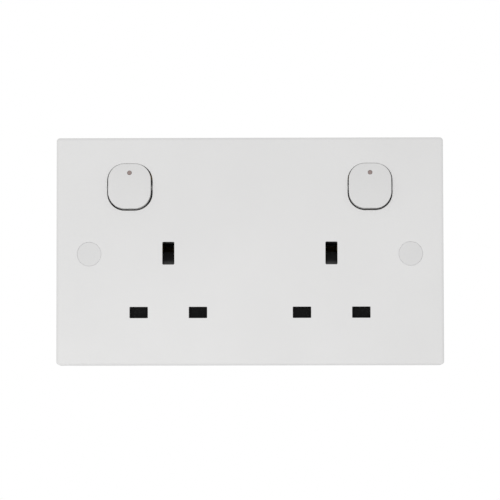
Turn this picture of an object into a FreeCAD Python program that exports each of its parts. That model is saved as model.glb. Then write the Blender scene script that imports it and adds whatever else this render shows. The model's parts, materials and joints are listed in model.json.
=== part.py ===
import FreeCAD, Part
import os
from types import SimpleNamespace

import Sketcher
from FreeCAD import Placement, Rotation, Vector

# A white twin switched wall socket with square-pin outlets, a rocker switch for each outlet,
# safety shutters behind the pin apertures and an insulating housing with the brass work inside.
# Frame: X to the right, Y into the wall, Z up. The origin lies on the wall plane, midway between
# the two fixing screws. The front of the plate faces -Y.

SIZES = {
    "Joins": {"bite": 0.4},
    "Plate": {
        "plate_width": 146.0, "plate_height": 86.0, "plate_depth": 9.0, "plate_skin": 2.6,
        "plate_rim": 2.6, "plate_corner": 2.6, "plate_edge": 1.1, "plate_draft": 2.5,
        "plate_rise": 1.1, "rib_wall": 1.4, "collar_wall": 1.0, "collar_depth": 1.8,
    },
    "Fixing screws and caps": {
        "fixing_pitch": 120.6, "fixing_radius": 1.75, "fixing_hole": 2.05, "fixing_reach": 25.0,
        "fixing_boss": 5.8, "fixing_ledge": 4.6, "head_radius": 3.4, "head_height": 2.0,
        "head_edge": 0.7, "head_slot": 1.0, "fixing_neck": 1.55, "fixing_chamfer": 0.4,
        "head_room": 0.45,
        "cap_radius": 4.42, "cap_gap": 0.1, "cap_depth": 1.5, "cap_edge": 0.25,
        "cap_skirt": 0.8, "cap_skirt_wall": 1.05,
    },
    "Outlets": {
        "socket_offset": 30.6, "earth_rise": 0.3, "pin_pitch": 22.23, "pin_drop": 22.23,
        "earth_slot_width": 4.55, "earth_slot_height": 8.6, "line_slot_width": 6.9,
        "line_slot_height": 4.25, "slot_corner": 0.2,
    },
    "Rockers": {
        "rocker_offset": 45.15, "rocker_rise": 25.2, "rocker_width": 16.3, "rocker_height": 17.0,
        "rocker_corner": 6.3, "rocker_side_gap": 0.28, "rocker_end_gap": 0.4, "rocker_tilt": 5.0,
        "rocker_proud": 0.8, "rocker_crown": 0.45, "rocker_skirt": 1.5, "rocker_wall": 1.5,
        "rocker_edge": 0.35, "rocker_web": 1.1, "rocker_web_drop": 1.0, "pivot_depth": 3.7,
        "trunnion_radius": 1.0, "trunnion_length": 1.6, "trunnion_gap": 0.05, "ear_wall": 1.8,
        "ear_width": 5.2, "ear_gap": 0.3, "ear_cover": 1.0,
    },
    "Pips": {
        "pip_radius": 0.85, "pip_rise": 4.9, "pip_length": 1.9, "pip_fit": 0.02,
        "pip_stand": 0.34, "pip_edge": 0.3,
    },
    "Plungers": {
        "plunger_radius": 1.5, "plunger_gap": 0.05, "plunger_reach": 8.8, "plunger_length": 8.0,
        "plunger_nose": 1.44, "tube_wall": 1.2, "tube_length": 4.0, "spring_wire": 0.35,
        "plunger_coils": 4.0, "plunger_peg": 0.8, "plunger_peg_length": 1.0,
    },
    "See-saw contacts": {
        "contact_gap": 0.06, "contact_sheet": 0.8, "contact_width": 4.8, "contact_arm": 5.9,
        "contact_bend": 0.72, "contact_tilt": 10.0, "contact_lip": 1.5, "ridge_radius": 0.7,
        "ridge_gap": 0.05, "ridge_web": 1.0, "cheek_gap": 0.2, "cheek_wall": 0.7,
        "cheek_reach": 1.2, "cradle_margin": 0.5,
    },
    "Silver tips": {
        "tip_radius": 1.1, "tip_height": 0.7, "tip_edge": 0.42, "tip_arm": 5.0,
        "tip_shank": 0.6, "tip_fit": 0.02, "fixed_tip_radius": 1.2, "fixed_tip_height": 0.45,
        "fixed_tip_edge": 0.27, "fixed_tip_rise": 5.05,
    },
    "Brass strips": {
        "strip_sheet": 0.9, "feed_depth": 6.1, "link_depth": 10.0, "earth_depth": 15.6,
        "feed_reach": 47.5, "feed_room": 0.25, "link_width": 3.0, "link_turn": 11.0,
        "link_slant": 2.0, "neutral_gap": 2.9, "neutral_width": 2.2, "neutral_room": 0.2,
        "neutral_riser": 13.0, "neutral_turn": 15.5, "earth_half": 2.5, "tongue_margin": 1.0,
    },
    "Pin clips": {
        "clip_sheet": 0.7, "clip_front": 1.0, "clip_pinch": 2.5, "clip_shoulder": 6.5,
        "clip_grip": 1.85, "clip_spread": 2.9, "clip_mouth": 3.0, "line_clip_width": 5.6,
        "earth_clip_width": 7.0,
    },
    "Terminals": {
        "terminal_pitch": 12.0, "terminal_width": 8.0, "terminal_low": 16.0,
        "terminal_high": 28.0, "terminal_depth": 7.6, "terminal_edge": 0.5, "wire_radius": 2.2,
        "wire_depth": 3.3, "clamp_radius": 1.75, "clamp_fit": 0.02, "clamp_head": 2.9,
        "clamp_head_height": 2.0, "clamp_head_gap": 0.4, "clamp_head_edge": 0.7,
        "clamp_slot": 0.9, "clamp_tip_gap": 0.15, "clamp_chamfer": 0.3, "clamp_access": 3.3,
        "clamp_rise": 22.0, "entry_width": 6.0, "entry_depth": 5.4, "entry_corner": 1.0,
    },
    "Housing": {
        "housing_gap": 0.5, "housing_lip": 2.4, "housing_floor": 17.0, "housing_back": 19.0,
        "housing_wall": 1.6,
        "housing_corner": 4.0, "housing_edge": 1.2, "partition": 1.2, "partition_drop": 0.3,
        "partition_gap": 0.3, "seat_post": 1.6, "seat_width": 4.8, "feed_seat": 34.6,
        "shroud_wall": 1.0, "shroud_front": 0.0, "shroud_reach": 3.5, "line_shroud": 3.8,
        "earth_shroud": 4.6, "switch_shroud": 4.6, "switch_shroud_low": 17.5,
        "switch_shroud_high": 28.4, "access_rim": 1.2, "access_rim_height": 0.8,
    },
    "Housing screws": {
        "column_inset": 4.6, "upper_column_offset": 27.6, "upper_column_drop": 8.6,
        "column_radius": 3.4, "column_boss": 2.5,
        "column_head_radius": 2.5, "column_head_gap": 0.1, "column_head_height": 1.6,
        "column_head_edge": 0.56, "column_slot": 0.8, "column_chamfer": 0.4, "column_seat": 4.0,
        "column_screw": 1.3, "column_fit": 0.03, "column_clearance": 0.13, "column_reach": 6.6,
        "column_pilot": 0.7,
    },
    "Shutters": {
        "shutter_gap": 0.1, "shutter_sheet": 2.0, "shutter_cover": 0.55,
        "shutter_side_cover": 0.7, "stem_width": 6.4, "ramp_start": 4.3, "ramp_rise": 5.0,
        "ramp_flat": 0.3, "rail_wall": 1.2, "rail_gap": 0.25, "rail_rise": 2.0,
        "shelf_drop": 31.6, "shelf_width": 6.0, "return_spring_radius": 1.3,
        "return_coils": 3.5, "spring_peg": 0.8, "spring_peg_length": 0.7,
        "spring_seat_gap": 0.05,
    },
}

# How near two coordinates must lie to count as one
TOUCH = 1e-4

# The sides of a spring's wire, which keep its long coil light
WIRE_SIDES = 8


class Size:
    """A number together with the sheet formula that it follows."""

    def __init__(self, number, formula):
        self.number = float(number)
        self.formula = formula

    @staticmethod
    def of(value):
        return value if isinstance(value, Size) else Size(value, f"({float(value)!r})")

    def join(self, other, sign, number):
        return Size(number, f"({self.formula} {sign} {other.formula})")

    def __add__(self, other):
        other = Size.of(other)
        return self.join(other, "+", self.number + other.number)

    def __sub__(self, other):
        other = Size.of(other)
        return self.join(other, "-", self.number - other.number)

    def __mul__(self, other):
        other = Size.of(other)
        return self.join(other, "*", self.number * other.number)

    def __truediv__(self, other):
        other = Size.of(other)
        return self.join(other, "/", self.number / other.number)

    def __radd__(self, other):
        return Size.of(other) + self

    def __rsub__(self, other):
        return Size.of(other) - self

    def __rmul__(self, other):
        return Size.of(other) * self

    def __neg__(self):
        return Size(-self.number, f"(0 - {self.formula})")


def fill_sheet(sheet):
    """Write each driving dimension into the sheet and return them by name."""
    found = {}
    row = 1
    for heading, rows in SIZES.items():
        sheet.set(f"A{row}", heading)
        row += 1
        for name, number in rows.items():
            sheet.set(f"A{row}", name.replace("_", " "))
            sheet.set(f"B{row}", str(number))
            sheet.setAlias(f"B{row}", name)
            found[name] = Size(number, "Sizes." + name)
            row += 1
    return SimpleNamespace(**found)


doc = FreeCAD.newDocument("twin_socket")
size_sheet = doc.addObject("Spreadsheet::Sheet", "Sizes")
s = fill_sheet(size_sheet)
doc.recompute()

# Levels along Y that several pieces share, from the front of the plate to the back of the housing
FACE = -s.plate_depth
INNER = FACE + s.plate_skin
LIP = -s.housing_lip
PIVOT = FACE + s.pivot_depth
FULCRUM = PIVOT + s.plunger_reach + s.contact_gap + 2 * s.contact_sheet
TERMINAL_FRONT = s.feed_depth + s.strip_sheet
TERMINAL_BACK = TERMINAL_FRONT + s.terminal_depth
WIRE = TERMINAL_FRONT + s.wire_depth
LINE = s.earth_rise - s.pin_drop
FLOOR = s.housing_floor + s.bite
FEED = s.rocker_rise + s.fixed_tip_rise
FEED_LOW = FEED - s.link_width / 2
FEED_HIGH = FEED + s.link_width / 2
NEUTRAL_HIGH = LINE - s.clip_spread - s.neutral_gap
NEUTRAL_LOW = NEUTRAL_HIGH - s.neutral_width
HOUSING_TOP = FEED_HIGH + s.feed_room + s.housing_wall
HOUSING_LOW = NEUTRAL_LOW - s.neutral_room - s.housing_wall
HOUSING_SIDE = s.fixing_pitch / 2 - s.fixing_boss - s.housing_gap

LEFT, RIGHT = -1, 1
SIDES = {LEFT: "left", RIGHT: "right"}
TERMINALS = {"neutral": -1.5, "earth_left": -0.5, "earth_right": 0.5, "live": 1.5}
UPPER = [(side * s.upper_column_offset, HOUSING_TOP - s.upper_column_drop) for side in SIDES]
LOWER = [(side * (HOUSING_SIDE - s.column_inset), HOUSING_LOW + s.column_inset) for side in SIDES]
COLUMNS = UPPER + LOWER


def bind(target, path, value):
    """Tie one property to the sheet."""
    target.setExpression(path, Size.of(value).formula)


def number(value):
    return Size.of(value).number


# Sketch helpers


def sketch_on(body, plane, offset=0):
    """A sketch on one of the body's own planes, moved along the plane's normal."""
    sketch = body.newObject("Sketcher::SketchObject", f"{body.Name}_sketch")
    support = next(f for f in body.Origin.OriginFeatures if f.Role == f"{plane}_Plane")
    sketch.AttachmentSupport = [(support, "")]
    sketch.MapMode = "FlatFace"
    bind(sketch, "AttachmentOffset.Base.z", offset)
    return sketch


def facing_front(body, level):
    """A sketch parallel to the plate, at this level along Y. Its normal points to the front."""
    return sketch_on(body, "XZ", -Size.of(level))


def hold(sketch, direction, geometry, point, value):
    """Fix one coordinate of a point in the sketch, measured from the sketch's origin."""
    rule = Sketcher.Constraint(direction, -1, 1, geometry, point, number(value))
    index = sketch.addConstraint(rule)
    bind(sketch, f"Constraints[{index}]", value)


def polygon(sketch, points):
    """A closed outline through the points, each of them tied to the sheet."""
    first = sketch.GeometryCount
    count = len(points)
    corners = [Vector(number(u), number(v), 0) for u, v in points]
    lines = [Part.LineSegment(corners[i], corners[(i + 1) % count]) for i in range(count)]
    sketch.addGeometry(lines, False)
    for i in range(count):
        following = first + (i + 1) % count
        sketch.addConstraint(Sketcher.Constraint("Coincident", first + i, 2, following, 1))
    for i, (u, v) in enumerate(points):
        hold(sketch, "DistanceX", first + i, 1, u)
        hold(sketch, "DistanceY", first + i, 1, v)


def bounded(sketch, left, right, low, high):
    """A plain rectangle between its four sides."""
    polygon(sketch, [(left, low), (right, low), (right, high), (left, high)])


def rectangle(sketch, u, v, width, height):
    """A plain rectangle about its centre."""
    bounded(sketch, u - width / 2, u + width / 2, v - height / 2, v + height / 2)


def circle(sketch, u, v, radius):
    centre = Vector(number(u), number(v), 0)
    index = sketch.addGeometry(Part.Circle(centre, Vector(0, 0, 1), number(radius)), False)
    hold(sketch, "DistanceX", index, 3, u)
    hold(sketch, "DistanceY", index, 3, v)
    rule = sketch.addConstraint(Sketcher.Constraint("Radius", index, number(radius)))
    bind(sketch, f"Constraints[{rule}]", radius)


def rounded_rectangle(sketch, u, v, width, height, radius):
    """Four sides and four corner arcs that run into them."""
    left, right = u - width / 2, u + width / 2
    low, high = v - height / 2, v + height / 2
    x0, x1, y0, y1, r = (number(value) for value in (left, right, low, high, radius))
    first = sketch.GeometryCount
    up = Vector(0, 0, 1)
    sides = [
        ((x0 + r, y0), (x1 - r, y0)), ((x1, y0 + r), (x1, y1 - r)),
        ((x1 - r, y1), (x0 + r, y1)), ((x0, y1 - r), (x0, y0 + r)),
    ]
    centres = [(x1 - r, y0 + r, 270), (x1 - r, y1 - r, 0), (x0 + r, y1 - r, 90), (x0 + r, y0 + r, 180)]
    for side, (cx, cy, start) in zip(sides, centres):
        (ax, ay), (bx, by) = side
        sketch.addGeometry(Part.LineSegment(Vector(ax, ay, 0), Vector(bx, by, 0)), False)
        arc = Part.Circle(Vector(cx, cy, 0), up, r)
        begin = FreeCAD.Units.Quantity(f"{start} deg").getValueAs("rad").Value
        end = FreeCAD.Units.Quantity(f"{start + 90} deg").getValueAs("rad").Value
        sketch.addGeometry(Part.ArcOfCircle(arc, begin, end), False)
    for i in range(4):
        line, arc, following = first + 2 * i, first + 2 * i + 1, first + 2 * ((i + 1) % 4)
        sketch.addConstraint(Sketcher.Constraint("Tangent", line, 2, arc, 1))
        sketch.addConstraint(Sketcher.Constraint("Tangent", arc, 2, following, 1))
        level = "Horizontal" if i % 2 == 0 else "Vertical"
        sketch.addConstraint(Sketcher.Constraint(level, line))
        if i:
            sketch.addConstraint(Sketcher.Constraint("Equal", first + 1, arc))
    rule = sketch.addConstraint(Sketcher.Constraint("Radius", first + 1, r))
    bind(sketch, f"Constraints[{rule}]", radius)
    hold(sketch, "DistanceY", first, 1, low)
    hold(sketch, "DistanceX", first + 2, 1, right)
    hold(sketch, "DistanceY", first + 4, 1, high)
    hold(sketch, "DistanceX", first + 6, 1, left)


# Feature helpers


def new_body(name):
    body = doc.addObject("PartDesign::Body", name)
    body.Label = name
    return body


def pad(body, sketch, length, both_ways=False, away=False):
    """Add the sketch's outline, along its normal, back from it or half each way."""
    feature = body.newObject("PartDesign::Pad", f"{body.Name}_pad")
    feature.Profile = sketch
    feature.Reversed = away
    if both_ways:
        feature.SideType = "Symmetric"
    bind(feature, "Length", length)
    return feature


def pocket(body, sketch, length=None, both_ways=False, forward=False):
    """Cut the sketch's outline, back from its normal unless forward. No length cuts right through."""
    feature = body.newObject("PartDesign::Pocket", f"{body.Name}_pocket")
    feature.Profile = sketch
    feature.Reversed = forward
    if both_ways:
        feature.SideType = "Symmetric"
    if length is None:
        feature.Type = "ThroughAll"
    else:
        bind(feature, "Length", length)
    return feature


def turned(body, sketch, axis):
    """Turn the sketch's outline once about one of its own axes."""
    feature = body.newObject("PartDesign::Revolution", f"{body.Name}_turn")
    feature.Profile = sketch
    feature.ReferenceAxis = (sketch, [axis])
    feature.Angle = 360
    return feature


def edges_of(feature, wanted):
    """The names of the feature's edges whose every vertex is wanted."""
    doc.recompute()
    names = []
    for index, edge in enumerate(feature.Shape.Edges, 1):
        points = [vertex.Point for vertex in edge.Vertexes] + [edge.CenterOfMass]
        if all(wanted(point) for point in points):
            names.append(f"Edge{index}")
    return names


def rounded(body, feature, wanted, radius):
    """Round the feature's wanted edges."""
    fillet = body.newObject("PartDesign::Fillet", f"{body.Name}_fillet")
    fillet.Base = (feature, edges_of(feature, wanted))
    bind(fillet, "Radius", radius)
    return fillet


def near(value, target):
    return abs(value - number(target)) < TOUCH


# Front plate


def front_plate():
    body = new_body("front_plate")
    outline = facing_front(body, 0)
    rounded_rectangle(outline, 0, s.plate_rise, s.plate_width, s.plate_height, s.plate_corner)
    shell = pad(body, outline, s.plate_depth)
    bind(shell, "TaperAngle", -s.plate_draft)
    rounded(body, shell, lambda point: near(point.y, FACE), s.plate_edge)
    hollow = facing_front(body, 0)
    width = s.plate_width - 2 * s.plate_rim
    height = s.plate_height - 2 * s.plate_rim
    rounded_rectangle(hollow, 0, s.plate_rise, width, height, s.plate_corner / 2)
    pocket(body, hollow, s.plate_depth - s.plate_skin, forward=True)
    plate_bosses(body)
    plate_ribs(body)
    plate_openings(body)
    return body


def plate_bosses(body):
    """Tubes for the fixing screws, bosses for the housing's screws, the rockers' ears and collars."""
    tubes = facing_front(body, 0)
    for side in SIDES:
        circle(tubes, side * s.fixing_pitch / 2, 0, s.fixing_boss)
    pad(body, tubes, -INNER)
    bosses = facing_front(body, LIP)
    for x, z in COLUMNS:
        circle(bosses, x, z, s.column_boss)
    pad(body, bosses, LIP - INNER)
    ear_back = PIVOT + s.trunnion_radius + s.trunnion_gap + s.ear_cover
    ears = facing_front(body, ear_back)
    inner = s.rocker_width / 2 + s.ear_gap
    for side in SIDES:
        for flank in SIDES:
            x = side * s.rocker_offset + flank * (inner + s.ear_wall / 2)
            rectangle(ears, x, s.rocker_rise, s.ear_wall, s.ear_width)
    pad(body, ears, ear_back - INNER)
    collars = facing_front(body, INNER + s.collar_depth)
    for side in SIDES:
        rocker_outline(collars, side, s.collar_wall)
    pad(body, collars, s.collar_depth)
    for side in SIDES:
        bore = sketch_on(body, "YZ", side * s.rocker_offset)
        circle(bore, PIVOT, s.rocker_rise, s.trunnion_radius + s.trunnion_gap)
        pocket(body, bore, 2 * (inner + s.ear_wall + s.bite), both_ways=True)


def rocker_outline(sketch, side, margin):
    """The opening that a rocker stands in, widened by a margin."""
    rounded_rectangle(
        sketch, side * s.rocker_offset, s.rocker_rise,
        s.rocker_width + 2 * (s.rocker_side_gap + margin),
        s.rocker_height + 2 * (s.rocker_end_gap + margin),
        s.rocker_corner + s.rocker_side_gap + margin,
    )


def plate_ribs(body):
    """Shutter rails, the shelf under each return spring and stiffening ribs."""
    rail = shutter_half_bar() + s.rail_gap
    shelf = -s.shelf_drop
    low = shelf - s.rib_wall
    high = LINE + s.line_slot_height / 2 + s.rail_rise
    ribs = facing_front(body, LIP)
    for side in SIDES:
        x = side * s.socket_offset
        for flank in SIDES:
            rectangle(ribs, x + flank * (rail + s.rail_wall / 2), (low + high) / 2, s.rail_wall, high - low)
        rectangle(ribs, x, (low + shelf) / 2, s.shelf_width, s.rib_wall)
        boss = s.fixing_pitch / 2 + s.fixing_boss - s.bite
        edge = s.plate_width / 2 - s.plate_rim + s.bite
        rectangle(ribs, side * (boss + edge) / 2, 0, edge - boss, s.rib_wall)
    top = s.plate_rise + s.plate_height / 2 - s.plate_rim + s.bite
    foot = HOUSING_TOP - s.housing_wall
    for x in (0, LEFT * s.socket_offset, RIGHT * s.socket_offset):
        bounded(ribs, x - s.rib_wall / 2, x + s.rib_wall / 2, foot, top)
    pad(body, ribs, LIP - INNER)
    for side in SIDES:
        peg = sketch_on(body, "XY", shelf)
        circle(peg, side * s.socket_offset, (INNER + LIP) / 2, s.spring_peg)
        pad(body, peg, s.spring_peg_length)


def plate_openings(body):
    slots = facing_front(body, FACE)
    for side in SIDES:
        x = side * s.socket_offset
        rounded_rectangle(slots, x, s.earth_rise, s.earth_slot_width, s.earth_slot_height, s.slot_corner)
        for flank in SIDES:
            rounded_rectangle(
                slots, x + flank * s.pin_pitch / 2, LINE,
                s.line_slot_width, s.line_slot_height, s.slot_corner,
            )
    pocket(body, slots, s.plate_skin + s.bite)
    openings = facing_front(body, FACE)
    for side in SIDES:
        rocker_outline(openings, side, 0)
    pocket(body, openings, s.plate_skin + s.collar_depth + s.bite)
    for radius, depth in (
        (s.fixing_hole, s.plate_depth + s.bite),
        (s.head_radius + s.head_room, s.fixing_ledge),
        (s.cap_radius + s.cap_gap, s.cap_depth),
    ):
        holes = facing_front(body, FACE)
        for side in SIDES:
            circle(holes, side * s.fixing_pitch / 2, 0, radius)
        pocket(body, holes, depth)
    pilots = facing_front(body, LIP)
    for x, z in COLUMNS:
        circle(pilots, x, z, s.column_screw + s.column_fit)
    pocket(body, pilots, LIP - INNER + s.column_pilot, forward=True)


def shutter_half_bar():
    """Half the width of a shutter's cross-bar, which covers both line apertures."""
    return (s.pin_pitch + s.line_slot_width) / 2 + s.shutter_side_cover


# Rear housing


def rear_housing():
    body = new_body("rear_housing")
    middle = (HOUSING_TOP + HOUSING_LOW) / 2
    width, height = 2 * HOUSING_SIDE, HOUSING_TOP - HOUSING_LOW
    outline = facing_front(body, s.housing_back)
    rounded_rectangle(outline, 0, middle, width, height, s.housing_corner)
    block = pad(body, outline, s.housing_back - LIP)
    rounded(body, block, lambda point: near(point.y, s.housing_back), s.housing_edge)
    hollow = facing_front(body, LIP)
    wall = 2 * s.housing_wall
    inner_corner = s.housing_corner - s.housing_wall
    rounded_rectangle(hollow, 0, middle, width - wall, height - wall, inner_corner)
    pocket(body, hollow, s.housing_floor - LIP)
    housing_shrouds(body)
    housing_seats(body)
    housing_columns(body)
    housing_terminals(body)
    return body


def housing_columns(body):
    """A column for each of the four screws that come in from the back."""
    columns = facing_front(body, FLOOR)
    for x, z in COLUMNS:
        circle(columns, x, z, s.column_radius)
    pad(body, columns, FLOOR - LIP)
    for radius, depth in (
        (s.column_screw + s.column_clearance, s.housing_back - LIP + s.bite),
        (s.column_head_radius + s.column_head_gap, s.housing_back - s.column_seat),
    ):
        holes = facing_front(body, s.housing_back)
        for x, z in COLUMNS:
            circle(holes, x, z, radius)
        pocket(body, holes, depth, forward=True)


def housing_terminals(body):
    """A seat behind each terminal, walls between them and the holes to their screws and wires."""
    seats = facing_front(body, FLOOR)
    for place in TERMINALS.values():
        x, half = place * s.terminal_pitch, s.terminal_width / 2
        bounded(seats, x - half, x + half, s.terminal_low, s.terminal_high)
    pad(body, seats, FLOOR - TERMINAL_BACK)
    walls = facing_front(body, FLOOR)
    top = HOUSING_TOP - s.housing_wall + s.bite
    half = s.partition / 2
    for place in (-2, -1, 0, 1, 2):
        x = place * s.terminal_pitch
        bounded(walls, x - half, x + half, s.terminal_low - s.partition_drop, top)
    pad(body, walls, FLOOR - TERMINAL_FRONT - s.partition_gap)
    rims = facing_front(body, s.housing_back - s.bite)
    for place in TERMINALS.values():
        circle(rims, place * s.terminal_pitch, s.clamp_rise, s.clamp_access + s.access_rim)
    pad(body, rims, s.access_rim_height + s.bite, away=True)
    back = s.housing_back + s.access_rim_height
    access = facing_front(body, back)
    for place in TERMINALS.values():
        circle(access, place * s.terminal_pitch, s.clamp_rise, s.clamp_access)
    pocket(body, access, back - TERMINAL_BACK + s.bite, forward=True)
    entries = sketch_on(body, "XY", HOUSING_TOP)
    for place in TERMINALS.values():
        rounded_rectangle(
            entries, place * s.terminal_pitch, WIRE, s.entry_width, s.entry_depth, s.entry_corner,
        )
    pocket(body, entries, s.housing_wall + s.bite)


def housing_shrouds(body):
    """Thin walls that keep each pin clip and each see-saw apart from the rest."""
    walls = facing_front(body, FLOOR)
    for side in SIDES:
        for flank in SIDES:
            pin = side * s.socket_offset + flank * s.pin_pitch / 2
            for edge in SIDES:
                x = pin + edge * s.line_shroud
                rectangle(walls, x, LINE, s.shroud_wall, 2 * s.shroud_reach)
            rise = s.earth_rise + flank * s.earth_shroud
            rectangle(walls, side * s.socket_offset, rise, 2 * s.shroud_reach, s.shroud_wall)
            x = side * s.rocker_offset + flank * s.switch_shroud
            half = s.shroud_wall / 2
            bounded(walls, x - half, x + half, s.switch_shroud_low, s.switch_shroud_high)
    pad(body, walls, FLOOR - s.shroud_front)


def housing_seats(body):
    """Posts and ribs that the brass strips rest on."""
    earth = facing_front(body, FLOOR)
    for x in (0, LEFT * s.socket_offset, RIGHT * s.socket_offset):
        rectangle(earth, x, s.earth_rise, s.seat_width, s.earth_half * 2)
    pad(body, earth, FLOOR - s.earth_depth - s.strip_sheet)
    posts = facing_front(body, FLOOR)
    for side in SIDES:
        for flank in SIDES:
            x = side * s.socket_offset + flank * s.pin_pitch / 2
            rectangle(posts, x, LINE, s.line_clip_width, s.clip_spread * 2)
        rectangle(posts, side * s.rocker_offset, s.rocker_rise, s.link_width, s.seat_width)
    pad(body, posts, FLOOR - s.link_depth - s.strip_sheet)
    shelves = facing_front(body, FLOOR)
    half = s.seat_post / 2
    for side in SIDES:
        for x in (side * (s.feed_reach - half), side * s.feed_seat):
            bounded(shelves, x - half, x + half, FEED_LOW, FEED_HIGH)
    pad(body, shelves, FLOOR - s.feed_depth - s.strip_sheet)


# Rockers


def rocker(side):
    """The crowned rocker, its trunnions and the tube that guides the plunger."""
    body = new_body(f"rocker_{SIDES[side]}")
    front = -(s.pivot_depth + s.rocker_proud)
    half = s.rocker_height / 2
    profile = sketch_on(body, "YZ")
    crowned_profile(profile, front, half)
    block = pad(body, profile, s.rocker_width, both_ways=True)
    corners = rounded(
        body, block,
        lambda point: near(abs(point.x), s.rocker_width / 2) and near(abs(point.z), half),
        s.rocker_corner,
    )
    rounded(body, corners, lambda point: point.y < number(front) + TOUCH, s.rocker_edge)
    hollow = facing_front(body, s.rocker_skirt)
    wall = 2 * s.rocker_wall
    inner_corner = s.rocker_corner - s.rocker_wall
    rounded_rectangle(hollow, 0, 0, s.rocker_width - wall, s.rocker_height - wall, inner_corner)
    pocket(body, hollow, s.rocker_skirt - front - s.rocker_wall, forward=True)
    tube = facing_front(body, s.tube_length)
    circle(tube, 0, 0, s.plunger_radius + s.plunger_gap + s.tube_wall)
    pad(body, tube, s.tube_length - front - s.rocker_wall + s.bite)
    web_back = s.rocker_skirt - s.rocker_web_drop
    webs = facing_front(body, web_back)
    rectangle(webs, 0, 0, s.rocker_width - wall + s.bite, s.rocker_web)
    pad(body, webs, web_back - front - s.rocker_wall + s.bite)
    for flank in SIDES:
        stub = sketch_on(body, "YZ", flank * (s.rocker_width / 2 - s.rocker_wall / 2))
        circle(stub, 0, 0, s.trunnion_radius)
        pad(body, stub, s.trunnion_length + s.rocker_wall / 2, away=flank == LEFT)
    bore = facing_front(body, s.tube_length)
    circle(bore, 0, 0, s.plunger_radius + s.plunger_gap)
    pocket(body, bore, s.tube_length - front - s.rocker_wall, forward=True)
    mark = facing_front(body, front - s.rocker_crown - s.bite)
    circle(mark, 0, s.pip_rise, s.pip_radius + s.pip_fit)
    pocket(body, mark, s.rocker_wall + s.rocker_crown + 2 * s.bite)
    seat_on_pivot(body, side)
    return body


def crowned_profile(sketch, front, half):
    """The rocker's side view: a square back and a front that swells in one arc."""
    skirt, low, high = s.rocker_skirt.number, -half.number, half.number
    edge, crest = front.number, (front - s.rocker_crown).number
    corners = [(edge, low), (skirt, low), (skirt, high), (edge, high)]
    points = [Vector(u, v, 0) for u, v in corners]
    for i in range(3):
        sketch.addGeometry(Part.LineSegment(points[i], points[i + 1]), False)
    sketch.addGeometry(Part.Arc(points[3], Vector(crest, 0, 0), points[0]), False)
    for i in range(2):
        sketch.addConstraint(Sketcher.Constraint("Coincident", i, 2, i + 1, 1))
    spots = (
        (0, 1, front, -half), (0, 2, s.rocker_skirt, -half),
        (1, 2, s.rocker_skirt, half), (2, 2, front, half),
    )
    for geometry, point, u, v in spots:
        hold(sketch, "DistanceX", geometry, point, u)
        hold(sketch, "DistanceY", geometry, point, v)
    arc_ends = arc_matches(sketch, 3, points[3])
    sketch.addConstraint(Sketcher.Constraint("Coincident", 3, arc_ends[0], 2, 2))
    sketch.addConstraint(Sketcher.Constraint("Coincident", 3, arc_ends[1], 0, 1))
    radius = (half * half + s.rocker_crown * s.rocker_crown) / (2 * s.rocker_crown)
    rule = sketch.addConstraint(Sketcher.Constraint("Radius", 3, number(radius)))
    bind(sketch, f"Constraints[{rule}]", radius)


def arc_matches(sketch, arc, point):
    """Which end of the arc lies at the point, then the other one."""
    starts_there = sketch.getPoint(arc, 1).distanceToPoint(point) < TOUCH
    return (1, 2) if starts_there else (2, 1)


def seat_on_pivot(body, side):
    """Put a piece of the rocker at its pivot, leaning to the off position."""
    body.Placement = Placement(Vector(), Rotation(Vector(1, 0, 0), -s.rocker_tilt.number))
    bind(body, "Placement.Base.x", side * s.rocker_offset)
    bind(body, "Placement.Base.y", PIVOT)
    bind(body, "Placement.Base.z", s.rocker_rise)
    bind(body, "Placement.Rotation.Angle", -s.rocker_tilt)


def indicator_pip(side):
    """The mark let into the rocker's face, with a softly domed end."""
    body = new_body(f"indicator_pip_{SIDES[side]}")
    front = -(s.pivot_depth + s.rocker_proud + s.pip_stand)
    face = facing_front(body, front + s.pip_length)
    circle(face, 0, s.pip_rise, s.pip_radius)
    stem = pad(body, face, s.pip_length)
    rounded(body, stem, lambda point: near(point.y, front), s.pip_edge)
    seat_on_pivot(body, side)
    return body


def plunger(side):
    """A round-nosed pin with a peg for its spring."""
    body = new_body(f"plunger_{SIDES[side]}")
    tip = s.plunger_reach
    back = tip - s.plunger_length
    sketch = sketch_on(body, "XY")
    polygon(sketch, [
        (0, back - s.plunger_peg_length), (s.plunger_peg, back - s.plunger_peg_length),
        (s.plunger_peg, back), (s.plunger_radius, back), (s.plunger_radius, tip), (0, tip),
    ])
    pin = turned(body, sketch, "V_Axis")
    rounded(body, pin, lambda point: near(point.y, tip), s.plunger_nose)
    seat_on_pivot(body, side)
    return body


def coil(name, radius, height, coils):
    """A compression spring that stands along Z from its own origin, of wire with eight fine sides."""
    spine = doc.addObject("Part::Helix", f"{name}_line")
    bind(spine, "Radius", radius)
    bind(spine, "Height", height)
    bind(spine, "Pitch", height / coils)
    section = doc.addObject("Part::RegularPolygon", f"{name}_wire")
    section.Polygon = WIRE_SIDES
    bind(section, "Circumradius", s.spring_wire / 2)
    section.Placement = Placement(Vector(number(radius), 0, 0), Rotation(Vector(1, 0, 0), 90))
    bind(section, "Placement.Base.x", radius)
    spring = doc.addObject("Part::Sweep", name)
    spring.Sections = [section]
    spring.Spine = (spine, ["Edge1"])
    spring.Solid = True
    spring.Frenet = True
    spring.Label = name
    return spring


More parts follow.
